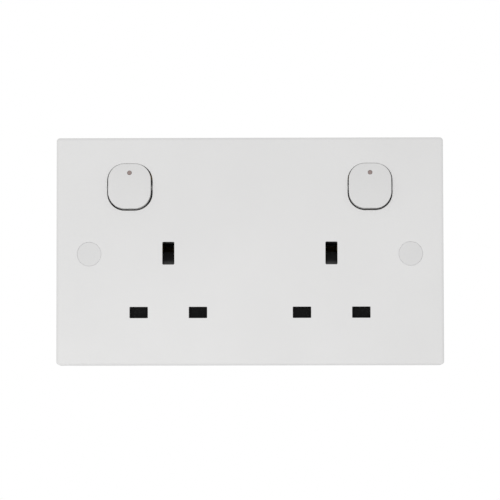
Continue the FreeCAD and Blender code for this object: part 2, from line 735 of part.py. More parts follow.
def plunger_spring(side):
    """The spring between the rocker and the back of the plunger."""
    front = -(s.pivot_depth + s.rocker_proud) + s.rocker_wall + s.spring_wire / 2 + s.spring_seat_gap
    back = s.plunger_reach - s.plunger_length - s.spring_wire / 2 - s.spring_seat_gap
    radius = s.plunger_radius - s.spring_wire / 2 - s.spring_seat_gap
    spring = coil(f"plunger_spring_{SIDES[side]}", radius, back - front, s.plunger_coils)
    lean = Rotation(Vector(1, 0, 0), -s.rocker_tilt.number)
    along = Rotation(Vector(1, 0, 0), -90)
    start = lean.multVec(Vector(0, front.number, 0))
    base = Vector(side * s.rocker_offset.number, PIVOT.number, s.rocker_rise.number)
    spring.Placement = Placement(base + start, lean.multiply(along))
    return spring


# See-saw contacts


def seat_on_fulcrum(body, side):
    """Put a piece of the see-saw at its fulcrum, leaning to the off position."""
    body.Placement = Placement(Vector(), Rotation(Vector(1, 0, 0), s.contact_tilt.number))
    bind(body, "Placement.Base.x", side * s.rocker_offset)
    bind(body, "Placement.Base.y", FULCRUM)
    bind(body, "Placement.Base.z", s.rocker_rise)
    bind(body, "Placement.Rotation.Angle", s.contact_tilt)


def moving_contact(side):
    """A shallow trough of strip that rocks on the cradle's ridge between two lips."""
    body = new_body(f"moving_contact_{SIDES[side]}")
    front = -2 * s.contact_sheet
    back = -s.contact_sheet
    arm, bend = s.contact_arm, s.contact_bend
    lip = s.contact_lip
    back_at_lip = back - bend * lip / arm
    profile = sketch_on(body, "YZ")
    polygon(profile, [
        (front, 0), (front - bend, arm), (back - bend, arm), (back_at_lip, lip),
        (0, lip), (0, -lip), (back_at_lip, -lip), (back - bend, -arm), (front - bend, -arm),
    ])
    pad(body, profile, s.contact_width, both_ways=True)
    groove = sketch_on(body, "YZ")
    circle(groove, 0, 0, s.ridge_radius + s.ridge_gap)
    pocket(body, groove, both_ways=True)
    hole = facing_front(body, back)
    circle(hole, 0, s.tip_arm, s.tip_shank + s.tip_fit)
    pocket(body, hole, s.contact_sheet + bend + s.bite, forward=True)
    seat_on_fulcrum(body, side)
    return body


def moving_tip(side):
    """The silver rivet at the upper arm's end, its dome towards the fixed tip."""
    body = new_body(f"moving_tip_{SIDES[side]}")
    lean = s.contact_bend / s.contact_arm
    seat = -s.contact_sheet - lean * (s.tip_arm - s.tip_radius)
    shank = seat - s.contact_sheet - lean * s.tip_radius
    stem = facing_front(body, seat)
    circle(stem, 0, s.tip_arm, s.tip_shank)
    pad(body, stem, seat - shank)
    head = facing_front(body, seat)
    circle(head, 0, s.tip_arm, s.tip_radius)
    button = pad(body, head, s.tip_height, away=True)
    top = seat + s.tip_height
    rounded(body, button, lambda point: near(point.y, top), s.tip_edge)
    seat_on_fulcrum(body, side)
    return body


def fixed_tip(side):
    """The silver rivet on the feed strip that the see-saw closes against."""
    body = new_body(f"fixed_tip_{SIDES[side]}")
    x, z = side * s.rocker_offset, s.rocker_rise + s.fixed_tip_rise
    head = facing_front(body, s.feed_depth)
    circle(head, x, z, s.fixed_tip_radius)
    button = pad(body, head, s.fixed_tip_height)
    top = s.feed_depth - s.fixed_tip_height
    rounded(body, button, lambda point: near(point.y, top), s.fixed_tip_edge)
    stem = facing_front(body, s.feed_depth)
    circle(stem, x, z, s.tip_shank)
    pad(body, stem, s.strip_sheet, away=True)
    return body


# Pin clips and brass strips


def clip_leaf(base):
    """One leaf of a clip, as depth and distance from the pin's middle: outside, then inside."""
    sheet, grip, spread, mouth = s.clip_sheet, s.clip_grip, s.clip_spread, s.clip_mouth
    front = -s.clip_front
    return [
        (base + s.strip_sheet, spread), (s.clip_shoulder, spread), (s.clip_pinch, grip + sheet),
        (front, mouth), (front, mouth - sheet), (s.clip_pinch, grip),
        (s.clip_shoulder, spread - sheet), (base, spread - sheet),
    ]


def line_clip(body, x, z):
    """The clip for a live or neutral pin: one leaf above the pin and one below."""
    upper = [(y, z + v) for y, v in clip_leaf(s.link_depth)]
    lower = [(y, z - v) for y, v in clip_leaf(s.link_depth)]
    profile = sketch_on(body, "YZ", x)
    polygon(profile, upper + lower[::-1])
    pad(body, profile, s.line_clip_width, both_ways=True)


def earth_clip(body, x, z):
    """The clip for an earth pin: one leaf on each side of the pin."""
    right = [(x + v, y) for y, v in clip_leaf(s.earth_depth)]
    left = [(x - v, y) for y, v in clip_leaf(s.earth_depth)]
    profile = sketch_on(body, "XY", z)
    polygon(profile, right + left[::-1])
    pad(body, profile, s.earth_clip_width, both_ways=True)


def live_feed_strip():
    """A flat strip across both switches, with a tongue down to the live terminal."""
    body = new_body("live_feed_strip")
    x = TERMINALS["live"] * s.terminal_pitch
    half, reach = s.link_width / 2, s.feed_reach
    foot = s.terminal_low + s.tongue_margin
    outline = facing_front(body, s.feed_depth)
    polygon(outline, [
        (-reach, FEED_LOW), (x - half, FEED_LOW), (x - half, foot), (x + half, foot),
        (x + half, FEED_LOW), (reach, FEED_LOW), (reach, FEED_HIGH), (-reach, FEED_HIGH),
    ])
    pad(body, outline, s.strip_sheet, away=True)
    holes = facing_front(body, s.feed_depth)
    for side in SIDES:
        circle(holes, side * s.rocker_offset, FEED, s.tip_shank + s.tip_fit)
    pocket(body, holes, s.strip_sheet + s.bite)
    return body


def live_link(side):
    """The see-saw's cradle, the strip below it and the clip for the live pin, in one piece."""
    body = new_body(f"live_link_{SIDES[side]}")
    x = side * s.rocker_offset
    pin = side * s.socket_offset + s.pin_pitch / 2
    half = s.link_width / 2
    foot = LINE + s.clip_spread - s.bite
    head = s.rocker_rise + s.contact_lip + s.cradle_margin
    turn = s.link_turn
    if side == LEFT:
        points = [
            (x - half, turn - half), (pin - half, turn - half), (pin - half, foot),
            (pin + half, foot), (pin + half, turn + half), (x + half, turn + half),
            (x + half, head), (x - half, head),
        ]
    else:
        bend = turn + s.link_slant
        points = [
            (pin - half, foot), (pin + half, foot), (pin + half, turn), (x + half, bend),
            (x + half, head), (x - half, head), (x - half, bend), (pin - half, turn),
        ]
    strip = facing_front(body, s.link_depth)
    polygon(strip, points)
    pad(body, strip, s.strip_sheet, away=True)
    line_clip(body, pin, LINE)
    cradle(body, x)
    return body


def cradle(body, x):
    """The ridge that the see-saw rocks on, its web and a cheek at each end."""
    rise = s.rocker_rise
    inner = s.contact_width / 2 + s.cheek_gap
    web, lip = s.ridge_web / 2, s.contact_lip
    back = s.link_depth + s.strip_sheet
    upright = sketch_on(body, "YZ", x)
    bounded(upright, FULCRUM, s.link_depth + s.bite, rise - web, rise + web)
    pad(body, upright, 2 * inner + s.bite, both_ways=True)
    ridge = sketch_on(body, "YZ", x)
    circle(ridge, FULCRUM, rise, s.ridge_radius)
    pad(body, ridge, 2 * inner + s.bite, both_ways=True)
    for flank in SIDES:
        cheek = sketch_on(body, "YZ", x + flank * inner)
        bounded(cheek, FULCRUM - s.cheek_reach, back, rise - lip, rise + lip)
        pad(body, cheek, s.cheek_wall, away=flank == LEFT)
    foot = facing_front(body, s.link_depth)
    rectangle(foot, x, rise, 2 * inner + s.bite, 2 * lip)
    pad(body, foot, s.strip_sheet, away=True)


def neutral_bar():
    """Both neutral clips on one strip, which climbs between the outlets to its terminal."""
    body = new_body("neutral_bar")
    left = -s.socket_offset - s.pin_pitch / 2
    right = s.socket_offset - s.pin_pitch / 2
    half = s.link_width / 2
    low, high = NEUTRAL_LOW, NEUTRAL_HIGH
    foot = LINE - s.clip_spread + s.bite
    riser = -s.neutral_riser
    terminal = TERMINALS["neutral"] * s.terminal_pitch
    turn = s.neutral_turn
    strip = facing_front(body, s.link_depth)
    polygon(strip, [
        (left - half, low), (right + half, low), (right + half, foot), (right - half, foot),
        (right - half, high), (riser + half, high), (riser + half, turn), (terminal - half, turn),
        (terminal - half, turn - s.link_width), (riser - half, turn - s.link_width),
        (riser - half, high), (left + half, high), (left + half, foot), (left - half, foot),
    ])
    pad(body, strip, s.strip_sheet, away=True)
    for x in (left, right):
        line_clip(body, x, LINE)
    step = facing_front(body, s.feed_depth)
    rectangle(step, terminal, turn - s.strip_sheet / 2, s.link_width, s.strip_sheet)
    pad(body, step, s.link_depth + s.strip_sheet - s.feed_depth, away=True)
    tongue(body, terminal, turn - s.strip_sheet)
    return body


def tongue(body, x, low):
    """The flat end that lies against the front of a terminal block."""
    high = s.terminal_high - s.tongue_margin
    flat = facing_front(body, s.feed_depth)
    rectangle(flat, x, (low + high) / 2, s.link_width, high - low)
    pad(body, flat, s.strip_sheet, away=True)


def earth_bar():
    """Both earth clips on the deepest strip, with a stepped tongue to two terminals."""
    body = new_body("earth_bar")
    half = s.earth_half
    reach = s.socket_offset + s.clip_spread
    rise = s.earth_rise
    top = s.link_turn
    places = [TERMINALS[name] * s.terminal_pitch for name in ("earth_left", "earth_right")]
    out = places[1] + s.link_width / 2
    strip = facing_front(body, s.earth_depth)
    polygon(strip, [
        (-reach, rise - half), (reach, rise - half), (reach, rise + half), (out, rise + half),
        (out, top), (-out, top), (-out, rise + half), (-reach, rise + half),
    ])
    pad(body, strip, s.strip_sheet, away=True)
    for side in SIDES:
        earth_clip(body, side * s.socket_offset, rise)
    step = facing_front(body, s.feed_depth)
    rectangle(step, 0, top - s.strip_sheet / 2, 2 * out, s.strip_sheet)
    pad(body, step, s.earth_depth + s.strip_sheet - s.feed_depth, away=True)
    for x in places:
        tongue(body, x, top - s.strip_sheet)
    return body


# Terminals


def terminal(name):
    """A brass block with a bore for the wires and a threaded hole for its screw."""
    body = new_body(f"terminal_{name}")
    x = TERMINALS[name] * s.terminal_pitch
    half = s.terminal_width / 2
    outline = sketch_on(body, "XY", s.terminal_low)
    bounded(outline, x - half, x + half, TERMINAL_FRONT, TERMINAL_BACK)
    block = pad(body, outline, s.terminal_high - s.terminal_low)
    sides = (s.terminal_low, s.terminal_high)
    rounded(body, block, lambda point: near(abs(point.x - number(x)), half) and
            any(near(point.z, level) for level in sides), s.terminal_edge)
    wire = sketch_on(body, "XY", s.terminal_high)
    circle(wire, x, WIRE, s.wire_radius)
    pocket(body, wire)
    thread = facing_front(body, TERMINAL_BACK)
    circle(thread, x, s.clamp_rise, s.clamp_radius + s.clamp_fit)
    pocket(body, thread, TERMINAL_BACK - WIRE, forward=True)
    return body


def slotted_screw(name, place, direction, shank, head, neck=()):
    """A slotted screw along Y. Direction 1 points its shank at the wall, -1 at the front."""
    shank_radius, shank_length, chamfer = shank
    head_radius, head_height, edge, slot = head
    body = new_body(name)
    sketch = sketch_on(body, "XY")
    top, end = -direction * head_height, direction * shank_length
    under_head = [(shank_radius, 0)]
    if neck:
        neck_radius, neck_length = neck
        thread = direction * neck_length
        under_head = [(neck_radius, 0), (neck_radius, thread), (shank_radius, thread)]
    polygon(sketch, [
        (0, top), (head_radius, top), (head_radius, 0), *under_head,
        (shank_radius, end - direction * chamfer), (shank_radius - chamfer, end), (0, end),
    ])
    bolt = turned(body, sketch, "V_Axis")
    rounded(body, bolt, lambda point: near(point.y, top), edge)
    cut = facing_front(body, top)
    rectangle(cut, 0, 0, 2 * (head_radius + s.bite), slot)
    pocket(body, cut, head_height / 2, forward=direction == -1)
    for axis, value in zip("xyz", place):
        bind(body, f"Placement.Base.{axis}", value)
    return body


def terminal_screw(name):
    """The clamping screw, backed off until it clears the wire bore."""
    under_head = TERMINAL_BACK + s.clamp_head_gap
    length = under_head - WIRE - s.wire_radius - s.clamp_tip_gap
    return slotted_screw(
        f"terminal_screw_{name}", (TERMINALS[name] * s.terminal_pitch, under_head, s.clamp_rise), -1,
        (s.clamp_radius, length, s.clamp_chamfer),
        (s.clamp_head, s.clamp_head_height, s.clamp_head_edge, s.clamp_slot),
    )


def fixing_screw(side):
    """The machine screw that holds the plate to the wall box, necked inside the plate."""
    seat = FACE + s.fixing_ledge
    return slotted_screw(
        f"fixing_screw_{SIDES[side]}", (side * s.fixing_pitch / 2, seat, 0), 1,
        (s.fixing_radius, s.fixing_reach - seat, s.fixing_chamfer),
        (s.head_radius, s.head_height, s.head_edge, s.head_slot),
        (s.fixing_neck, -seat),
    )


def screw_cap(side):
    """A disc that covers the fixing screw, on a short skirt that keeps it in place."""
    body = new_body(f"screw_cap_{SIDES[side]}")
    back = FACE + s.cap_depth
    face = facing_front(body, back)
    circle(face, 0, 0, s.cap_radius)
    disc = pad(body, face, s.cap_depth)
    rounded(body, disc, lambda point: near(point.y, FACE), s.cap_edge)
    skirt = facing_front(body, back)
    outer = s.head_radius + s.head_room - s.cap_gap
    circle(skirt, 0, 0, outer)
    circle(skirt, 0, 0, outer - s.cap_skirt_wall)
    pad(body, skirt, s.cap_skirt, away=True)
    bind(body, "Placement.Base.x", side * s.fixing_pitch / 2)
    return body


def housing_screws():
    """The four self-tapping screws that draw the housing against the plate."""
    pieces = []
    for index, (x, z) in enumerate(COLUMNS, 1):
        pieces.append(slotted_screw(
            f"column_screw_{index}", (x, s.column_seat, z), -1,
            (s.column_screw, s.column_seat + s.column_reach, s.column_chamfer),
            (s.column_head_radius, s.column_head_height, s.column_head_edge, s.column_slot),
        ))
    group = doc.addObject("Part::Compound", "housing_screws")
    group.Links = pieces
    group.Label = "housing_screws"
    return group


# Shutters


def shutter(side):
    """A cross-bar that covers both line apertures and a stem whose ramp meets the earth pin."""
    body = new_body(f"shutter_{SIDES[side]}")
    front = INNER + s.shutter_gap
    back = LIP - s.shutter_gap
    low = LINE - s.line_slot_height / 2 - s.shutter_cover
    high = LINE + s.line_slot_height / 2 + s.shutter_cover
    ramp_foot = s.earth_rise - s.ramp_start
    ramp_head = ramp_foot + s.ramp_rise
    bar = facing_front(body, front)
    rectangle(bar, 0, (low + high) / 2, 2 * shutter_half_bar(), high - low)
    pad(body, bar, s.shutter_sheet, away=True)
    stem = sketch_on(body, "YZ")
    polygon(stem, [
        (front, low), (back, low), (back, ramp_head), (back - s.ramp_flat, ramp_head),
        (front, ramp_foot),
    ])
    pad(body, stem, s.stem_width, both_ways=True)
    peg = sketch_on(body, "XY", low)
    circle(peg, 0, (INNER + LIP) / 2, s.spring_peg)
    pad(body, peg, s.spring_peg_length, away=True)
    bind(body, "Placement.Base.x", side * s.socket_offset)
    return body


def shutter_spring(side):
    """The spring that pushes a shutter back up over the apertures."""
    gap = s.spring_wire / 2 + s.spring_seat_gap
    low = -s.shelf_drop + gap
    high = LINE - s.line_slot_height / 2 - s.shutter_cover - gap
    spring = coil(f"shutter_spring_{SIDES[side]}", s.return_spring_radius, high - low, s.return_coils)
    spring.Placement = Placement(Vector(0, 0, 0), Rotation())
    bind(spring, "Placement.Base.x", side * s.socket_offset)
    bind(spring, "Placement.Base.y", (INNER + LIP) / 2)
    bind(spring, "Placement.Base.z", low)
    return spring


def build():
    """Every piece of the socket."""
    pieces = [front_plate(), rear_housing(), live_feed_strip(), neutral_bar(), earth_bar()]
    for side in SIDES:
        for make in (
            rocker, indicator_pip, plunger, plunger_spring, moving_contact, moving_tip, fixed_tip,
            live_link, fixing_screw, screw_cap, shutter, shutter_spring,
        ):
            pieces.append(make(side))
    for name in TERMINALS:
        pieces.append(terminal(name))
        pieces.append(terminal_screw(name))
    pieces.append(housing_screws())
    return pieces


def check(pieces):
    """Stop if any object failed, or if a cut or an addition changed nothing."""
    for item in doc.Objects:
        if "Invalid" in item.State or "Error" in item.State:
            raise RuntimeError(f"{item.Name} failed: {item.State}")
        if item.TypeId in ("PartDesign::Pad", "PartDesign::Pocket") and item.BaseFeature:
            change = item.Shape.Volume - item.BaseFeature.Shape.Volume
            if change * (1 if item.TypeId.endswith("Pad") else -1) <= 1e-6:
                raise RuntimeError(f"{item.Name} changed nothing: {change}")
    for piece in pieces:
        if piece.Shape.isNull() or not piece.Shape.isValid() or not piece.Shape.Solids:
            raise RuntimeError(f"{piece.Label} has no valid solid")


parts = build()
doc.recompute()
check(parts)
os.makedirs("parts", exist_ok=True)
for part in parts:
    part.Shape.exportStep(f"parts/{part.Label}.step")
print(len(parts), "pieces written")
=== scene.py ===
"""A white twin wall socket outlet, seen almost head-on on a white ground."""

import json
import math

import bmesh
import bpy
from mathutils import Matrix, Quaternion, Vector

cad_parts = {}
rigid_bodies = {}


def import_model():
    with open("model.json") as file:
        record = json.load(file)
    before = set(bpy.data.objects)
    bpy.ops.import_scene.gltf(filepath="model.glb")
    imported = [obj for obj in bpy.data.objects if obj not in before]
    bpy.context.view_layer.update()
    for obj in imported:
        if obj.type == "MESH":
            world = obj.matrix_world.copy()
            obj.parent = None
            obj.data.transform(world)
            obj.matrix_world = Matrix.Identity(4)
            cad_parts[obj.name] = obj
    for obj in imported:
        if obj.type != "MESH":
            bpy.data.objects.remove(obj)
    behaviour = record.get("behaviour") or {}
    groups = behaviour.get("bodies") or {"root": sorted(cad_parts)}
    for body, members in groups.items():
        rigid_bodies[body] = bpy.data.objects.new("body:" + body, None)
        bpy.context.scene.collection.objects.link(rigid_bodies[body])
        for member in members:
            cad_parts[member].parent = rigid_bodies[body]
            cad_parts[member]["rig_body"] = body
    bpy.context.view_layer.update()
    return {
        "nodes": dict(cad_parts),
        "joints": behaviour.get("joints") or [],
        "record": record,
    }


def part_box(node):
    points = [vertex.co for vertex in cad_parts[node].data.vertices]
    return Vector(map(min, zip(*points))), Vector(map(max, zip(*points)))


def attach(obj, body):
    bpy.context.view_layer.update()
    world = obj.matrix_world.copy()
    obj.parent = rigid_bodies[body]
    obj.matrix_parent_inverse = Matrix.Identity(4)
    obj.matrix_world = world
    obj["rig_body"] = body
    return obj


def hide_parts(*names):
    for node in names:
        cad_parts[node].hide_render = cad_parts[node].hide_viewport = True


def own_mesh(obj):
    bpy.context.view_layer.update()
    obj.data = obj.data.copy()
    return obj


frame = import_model()
MM = 0.001
SIDES = ("left", "right")
JOINTS = {joint["name"]: joint for joint in frame["joints"]}

# How far apart two places may be: vertices that are merged, a vertex and the line that it lies on,
# and a vertex and the edge of the part that is worked on
MERGED = 0.0005 * MM
NEAR = 0.001 * MM
ROUGHLY = 0.01 * MM

# Camera: where it stands, where it looks, its lens and sensor in millimetres, and how far it sees
CAMERA_AT = Vector((7.1, -800.0, -33.8)) * MM
YAW = math.radians(-0.51)
PITCH = math.radians(2.55)
ROLL = math.radians(-0.1)
LENS = 152.04
SENSOR = 36.0
SIGHT = 20.0

# Soft lights: name, place and aim in metres, width, height and power
LAMPS = (
    ("key", (-0.45, -1.5, 0.15), (0, 0, 0), 0.9, 0.9, 1.3),
    ("fill", (-0.10, -0.75, -0.135), (0, 0, -0.02), 0.3, 0.06, 0.3),
    ("bounce", (-0.07, -0.2, -0.2), (0, 0, -0.03), 0.4, 0.1, 0.09),
)

# How bright the white room lights the socket, beside the pure white that the camera sees behind it
ROOM_GLOW = 0.78

# Floor: low and short enough to stay under the photograph's frame
FLOOR_LEVEL = -250.0 * MM
FLOOR_REACH = 2.0

# The share of a noise's range over which colours and gloss go from one end to the other
TONE_RANGE = (0.35, 0.65)
GLOSS_RANGE = (0.3, 0.7)

# Shutters: between which levels their black leads over to a lighter grey at the ramp's foot, and
# that to a darker grey above it; both greys are painted light, a glint painted on the ramp
SHUTTER_PAINTED_GLINT = ((-8.0 * MM, -5.0 * MM, 0.10), (-3.7 * MM, -2.2 * MM, 0.018))

# Front plate: the solid's corner radii, and what is taken off the outer ones
PLATE_CORNER = 2.6 * MM
PLATE_TRIM = 1.0 * MM
SLOT_CORNER = 0.2 * MM

# Pin apertures of the right half in millimetres: place across, level, width, height, and what is
# added to the radius of their corners
APERTURES = (
    (30.6, 0.3, 4.55, 8.6, 0.28),
    (19.485, -21.93, 6.9, 4.25, 0.08),
    (41.715, -21.93, 6.9, 4.25, 0.08),
)

# Screws: the level behind which the shank is made anew, its radius, the neck's radius and the tip's
# chamfer, then the M3.5 thread: pitch, root radius, the share of a flank that is flat at its root
# and at its crest, and the rings of faces in each turn
SHANK_START = -1.0 * MM
SCREW_RADIUS = 1.75 * MM
SCREW_NECK = 1.55 * MM
SCREW_CHAMFER = 0.4 * MM
THREAD_PITCH = 0.6 * MM
THREAD_ROOT = 1.38 * MM
THREAD_FLAT = 0.125
THREAD_STEPS = 8

# Rockers: half the solid's width, where its sides begin, and what is taken off each rocker's left
# and right side
ROCKER_HALF = 8.15 * MM
ROCKER_CORE = 4.0 * MM
ROCKER_TRIMS = {"left": (0.13 * MM, 0.15 * MM), "right": (0.16 * MM, 0.17 * MM)}

# Left rocker's opening: where it is, half its width and height, its corner radius, and how much
# wider it is on its right
OPENING_AT = (-45.15 * MM, 25.2 * MM)
OPENING_HALF = (8.43 * MM, 8.9 * MM)
OPENING_CORNER = 6.58 * MM
OPENING_WIDER = 0.25 * MM

# Screw covers: the solid's rounded edge, how much closer the finer piece fits its hole, and the
# share of the rounding that it keeps
CAP_EDGE = 0.25 * MM
CAP_CLOSER = 0.06 * MM
CAP_SHARPER = 0.5

# Letters by the terminals, each with its place across, then the level of the back that they stand
# on, their own level and size, and how far their faces and their bevel stand out
TERMINALS = (("N", -18.0 * MM), ("E", -6.0 * MM), ("E", 6.0 * MM), ("L", 18.0 * MM))
HOUSING_BACK = 19.0 * MM
MARK_LEVEL = 11.4 * MM
MARK_SIZE = 4.6 * MM
MARK_STAND = 0.35 * MM
MARK_EDGE = 0.05 * MM


# Materials


def node(tree, kind, **inputs):
    """A new node with some of its inputs set."""
    made = tree.nodes.new(kind)
    for name, value in inputs.items():
        made.inputs[name].default_value = value
    return made


def grain(tree, scale, detail, stretch=(1, 1, 1)):
    """Noise fixed to the piece: features of 1 / scale metres, longer where stretch is small."""
    place = tree.nodes.new("ShaderNodeTexCoord")
    mapping = node(tree, "ShaderNodeMapping", Scale=stretch)
    noise = node(tree, "ShaderNodeTexNoise", Scale=scale, Detail=detail)
    tree.links.new(place.outputs["Object"], mapping.inputs["Vector"])
    tree.links.new(mapping.outputs["Vector"], noise.inputs["Vector"])
    return noise.outputs["Fac"]


def ramp(tree, source, low, high):
    """Colours from low to high as the source goes across its usual range."""
    made = tree.nodes.new("ShaderNodeValToRGB")
    first, last = made.color_ramp.elements
    first.position, last.position = TONE_RANGE
    first.color, last.color = (*low, 1), (*high, 1)
    tree.links.new(source, made.inputs["Fac"])
    return made.outputs["Color"]


def spread(tree, source, low, high):
    """Numbers from low to high as the source goes across its usual range."""
    made = tree.nodes.new("ShaderNodeMapRange")
    ends = (*GLOSS_RANGE, low, high)
    for name, value in zip(("From Min", "From Max", "To Min", "To Max"), ends):
        made.inputs[name].default_value = value
    tree.links.new(source, made.inputs["Value"])
    return made.outputs["Result"]


def paint_light_by_level(material, start, end, tone):
    """Lead the colour over to another tone as the level goes from start to end: painted light, used
    for the glint on the shutters' ramps.
    """
    tree = material.node_tree
    colour = tree.nodes["Principled BSDF"].inputs["Base Color"]
    before = colour.links[0].from_socket
    place = tree.nodes.new("ShaderNodeTexCoord")
    parts = tree.nodes.new("ShaderNodeSeparateXYZ")
    rise = node(tree, "ShaderNodeMapRange", **{"From Min": start, "From Max": end})
    mix = tree.nodes.new("ShaderNodeMixRGB")
    mix.inputs["Color2"].default_value = (*tone, 1)
    tree.links.new(place.outputs["Object"], parts.inputs["Vector"])
    tree.links.new(parts.outputs["Z"], rise.inputs["Value"])
    tree.links.new(rise.outputs["Result"], mix.inputs["Fac"])
    tree.links.new(before, mix.inputs["Color1"])
    tree.links.new(mix.outputs["Color"], colour)


def surface(
    name, tones, cloud, rough, gloss_scale, relief, relief_scale, stretch=(1, 1, 1), **settings
):
    """Colour that drifts in clouds, gloss that varies and a fine relief in metres."""
    material = bpy.data.materials.new(name)
    material.use_nodes = True
    tree = material.node_tree
    shader = tree.nodes["Principled BSDF"]
    for key, value in settings.items():
        shader.inputs[key.replace("_", " ")].default_value = value
    clouds = grain(tree, cloud, 3, stretch)
    tree.links.new(ramp(tree, clouds, *tones), shader.inputs["Base Color"])
    gloss = grain(tree, gloss_scale, 4, stretch)
    tree.links.new(spread(tree, gloss, *rough), shader.inputs["Roughness"])
    bump = node(tree, "ShaderNodeBump", Strength=1.0, Distance=relief)
    fine = grain(tree, relief_scale, 3, stretch)
    tree.links.new(fine, bump.inputs["Height"])
    tree.links.new(bump.outputs["Normal"], shader.inputs["Normal"])
    material.diffuse_color = (*tones[1], 1)
    return material


def grey(value, warm=0.0):
    """A grey, with a little more red and less blue where it is warm."""
    return (value * (1 + warm), value, value * (1 - warm))


def finishes():
    """One material for each slot of the part.

    A row holds the two tones, the scale of their clouds, the roughness from low to high and its
    scale, the relief and its scale, and what else the surface is given.
    """
    plain = {}
    moulded = {"IOR": 1.5}
    metal = {"Metallic": 1.0}
    rolled = metal | {"stretch": (0.12, 1, 1)}
    drawn = metal | {"stretch": (1, 1, 0.15)}
    matt = {"Specular_IOR_Level": 0.08}
    milky = {"Subsurface_Weight": 0.15, "Subsurface_Radius": (0.002, 0.0016, 0.001)}
    rows = {
        "white_moulding": (
            (grey(0.77, 0.004), grey(0.79, 0.004)),
            25, (0.30, 0.36), 120, 0.000006, 900, moulded,
        ),
        "cap_moulding": (
            (grey(0.72, 0.003), grey(0.74, 0.003)),
            60, (0.30, 0.38), 150, 0.000006, 900, moulded,
        ),
        "rocker_moulding": (
            (grey(0.74, 0.004), grey(0.76, 0.004)),
            40, (0.27, 0.33), 150, 0.000005, 900, moulded,
        ),
        "dark_housing": (
            (grey(0.022), grey(0.029)),
            35, (0.40, 0.60), 60, 0.00002, 2600, plain,
        ),
        "black_shutter": (
            (grey(0.004), grey(0.008)),
            90, (0.45, 0.55), 400, 0.00001, 1800, matt,
        ),
        "red_mark": (
            ((0.27, 0.205, 0.195), (0.325, 0.25, 0.235)),
            900, (0.30, 0.40), 900, 0.000004, 3000, plain,
        ),
        "natural_nylon": (
            ((0.68, 0.64, 0.54), (0.76, 0.73, 0.65)),
            150, (0.35, 0.48), 500, 0.00001, 1600, milky,
        ),
        "brass_strip": (
            ((0.58, 0.41, 0.17), (0.73, 0.54, 0.25)),
            110, (0.26, 0.42), 500, 0.000008, 2200, rolled,
        ),
        # The earth bar's brass, darkened almost to black as painted shade where it lies behind the
        # earth apertures; its higher roughness is a dull finish
        "dull_brass_painted_shade": (
            ((0.10, 0.072, 0.035), (0.14, 0.10, 0.05)),
            110, (0.55, 0.70), 500, 0.000008, 2200, rolled,
        ),
        "brass_block": (
            ((0.66, 0.46, 0.18), (0.80, 0.59, 0.27)),
            160, (0.18, 0.32), 700, 0.000008, 1800, drawn,
        ),
        "silver_tip": (
            ((0.74, 0.73, 0.70), (0.86, 0.85, 0.82)),
            700, (0.25, 0.42), 1500, 0.000006, 3500, metal,
        ),
        "spring_steel": (
            (grey(0.40), grey(0.54)),
            500, (0.24, 0.40), 1200, 0.000006, 3500, metal,
        ),
        "plated_steel": (
            (grey(0.60, -0.01), grey(0.74, -0.01)),
            260, (0.20, 0.36), 900, 0.000008, 2600, metal,
        ),
    }
    return {name: surface(name, *row, **more) for name, (*row, more) in rows.items()}


def dress(materials):
    """Give each piece of the part the material of its slot, or one of its own where it needs it."""
    slots = {part["node"]: part["material_slot"] for part in frame["record"]["subparts"]}
    slots |= {"screw_cap_" + side: "cap_moulding" for side in SIDES}
    # The earth bar gets brass darkened as painted shade
    slots["earth_bar"] = "dull_brass_painted_shade"
    for name, piece in frame["nodes"].items():
        piece.data.materials.clear()
        piece.data.materials.append(materials[slots[name]])


# Pieces


def finer(name, new_name):
    """A copy of one of the part's solids that stands for it, to be worked into a finer piece."""
    solid = frame["nodes"][name]
    piece = bpy.data.objects.new(new_name, solid.data.copy())
    bpy.context.collection.objects.link(piece)
    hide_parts(name)
    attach(piece, solid["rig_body"])
    return piece


def axis_of(low, high):
    """Where a round solid's axis goes through the wall plane, from the corners of its box."""
    return Vector(((low.x + high.x) / 2, 0, (low.z + high.z) / 2))


def turn_about(axis, place):
    """The angle of a place about an axis that runs from front to back."""
    return math.atan2(place.z - axis.z, place.x - axis.x)


def threaded_screw(side):
    """The wall fixing screw: the solid's own head, and a shank with a thread cut into it."""
    piece = finer("fixing_screw_" + side, "threaded_screw_" + side)
    low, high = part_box("fixing_screw_" + side)
    axis = axis_of(low, high)
    mesh = bmesh.new()
    mesh.from_mesh(piece.data)
    bmesh.ops.remove_doubles(mesh, verts=mesh.verts, dist=MERGED)
    shank = [vertex for vertex in mesh.verts if vertex.co.y > SHANK_START]
    bmesh.ops.delete(mesh, geom=shank, context="VERTS")
    around = {vertex for edge in mesh.edges if edge.is_boundary for vertex in edge.verts}
    ring = sorted(around, key=lambda vertex: turn_about(axis, vertex.co))
    turns = [turn_about(axis, vertex.co) for vertex in ring]
    steps = round(high.y / THREAD_PITCH * THREAD_STEPS)
    for step in range(steps + 1):
        depth = high.y * step / steps
        new = []
        for turn in turns:
            reach = thread_radius(depth, turn, high.y)
            new.append(mesh.verts.new((
                axis.x + reach * math.cos(turn), depth, axis.z + reach * math.sin(turn),
            )))
        for here in range(len(ring)):
            after = (here + 1) % len(ring)
            face = mesh.faces.new((ring[here], ring[after], new[after], new[here]))
            face.smooth = True
        ring = new
    mesh.faces.new(ring)
    bmesh.ops.recalc_face_normals(mesh, faces=mesh.faces)
    mesh.to_mesh(piece.data)
    mesh.free()


def thread_radius(depth, turn, end):
    """How far the thread's surface is from the screw's axis."""
    phase = (depth / THREAD_PITCH - turn / math.tau) % 1
    flank = 1 - abs(2 * phase - 1)
    height = min(max((flank - THREAD_FLAT) / (1 - 2 * THREAD_FLAT), 0), 1)
    begun = min(depth / THREAD_PITCH, 1)
    root = SCREW_NECK + (THREAD_ROOT - SCREW_NECK) * begun
    reach = root + (SCREW_RADIUS - root) * height * begun
    return min(reach, SCREW_RADIUS - max(depth - (end - SCREW_CHAMFER), 0))


